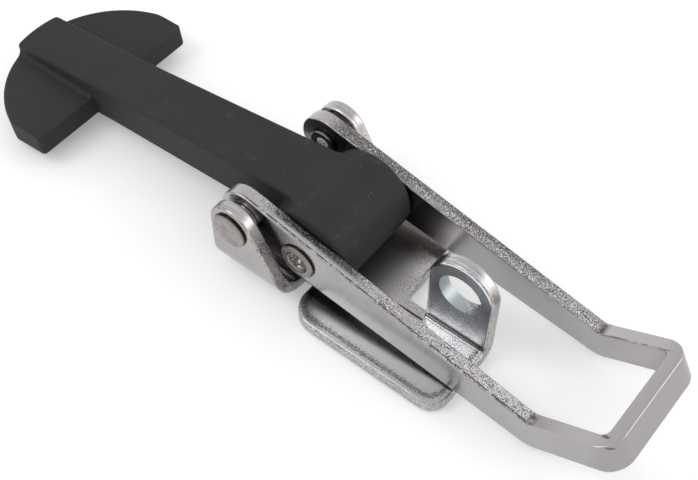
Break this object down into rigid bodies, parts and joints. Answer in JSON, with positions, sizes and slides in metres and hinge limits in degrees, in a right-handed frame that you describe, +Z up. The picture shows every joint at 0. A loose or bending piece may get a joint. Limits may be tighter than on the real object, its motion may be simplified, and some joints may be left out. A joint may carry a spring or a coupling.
{
  "type": "over centre toggle latch",
  "caption": "Over-centre toggle latch: folded steel base with padlock eye, U-shaped crank lever and a moulded rubber draw strap with a T head.",
  "frame": {"origin": "on the mounting plane under the base plate, straight below the lever's pivot and midway between the ears", "axes": "+X from the T head towards the handle, +Z up off the mounting plane, +Y to the side without the padlock eye"},
  "size_m": [0.2347, 0.0636, 0.0351],
  "materials": {
    "zinc_base": "bright zinc plate on folded sheet, matte at the sheared edges",
    "zinc_lever": "bright zinc plate on bent strip, grainy along the cut edges",
    "zinc_pins": "zinc plated rivets with pitted closed ends",
    "zinc_washers": "zinc plated washers",
    "rubber": "matte moulded rubber, charcoal"
  },
  "bodies": {
    "base": {"base_plate": "zinc_base", "pivot_rivet_near": "zinc_pins", "pivot_rivet_far": "zinc_pins", "spacer_washer_near": "zinc_washers", "spacer_washer_far": "zinc_washers"},
    "lever": {"lever": "zinc_lever", "draw_pin": "zinc_pins"},
    "strap": {"rubber_draw": "rubber"}
  },
  "joints": [
    {"name": "lever_hinge", "type": "hinge", "parent": "base", "child": "lever", "pos_m": [0, 0, 0.0224], "axis": [0, -1, 0], "range_deg": [0, 150]},
    {"name": "strap_hinge", "type": "hinge", "parent": "lever", "child": "strap", "pos_m": [0.0195, 0, 0.01791], "axis": [0, -1, 0], "range_deg": [-150, 0]}
  ],
  "couplings": [
    {"joint": "strap_hinge", "follows": "lever_hinge", "ratio": -1}
  ]
}
